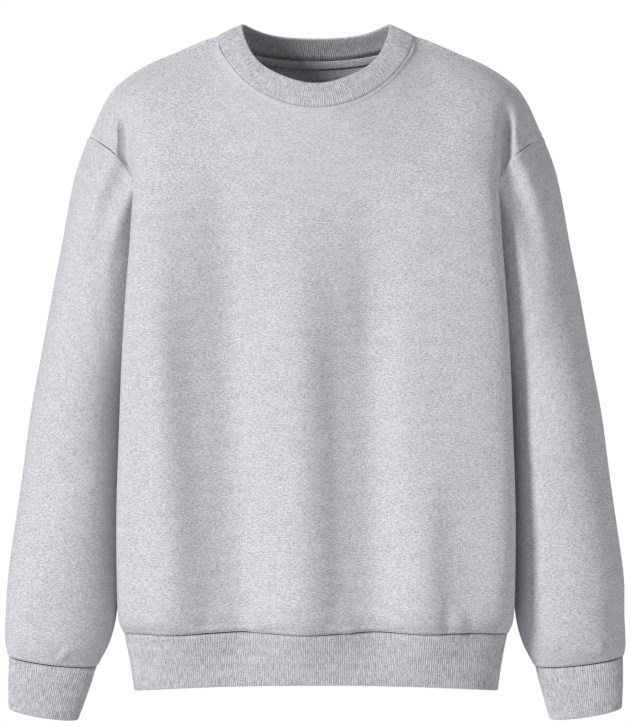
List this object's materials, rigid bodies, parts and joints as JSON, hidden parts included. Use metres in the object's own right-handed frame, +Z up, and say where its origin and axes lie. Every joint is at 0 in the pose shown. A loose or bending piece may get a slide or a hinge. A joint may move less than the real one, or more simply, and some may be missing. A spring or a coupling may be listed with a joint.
{
  "type": "crewneck sweatshirt",
  "caption": "Long-sleeved crewneck sweatshirt of heather grey fleece, filled out as if worn and hollow, with ribbed neckband, waistband and cuffs.",
  "frame": {"origin": "midway between the two neck points, where the shoulder seams meet the neckband and the garment is carried", "axes": "+Z is up, the front of the garment faces -Y, and the wearer's left is +X"},
  "size_m": [0.6507, 0.2574, 0.7337],
  "materials": {
    "heather_fleece": "matte brushed knit with a heather grain",
    "heather_rib": "matte rib knit with a heather grain",
    "twill_tape": "matte knit tape"
  },
  "bodies": {
    "root": {"front": "heather_fleece", "back": "heather_fleece", "sleeve_left": "heather_fleece", "sleeve_right": "heather_fleece", "collar": "heather_rib", "waistband": "heather_rib", "cuff_left": "heather_rib", "cuff_right": "heather_rib", "neck_tape": "twill_tape"}
  },
  "joints": []
}
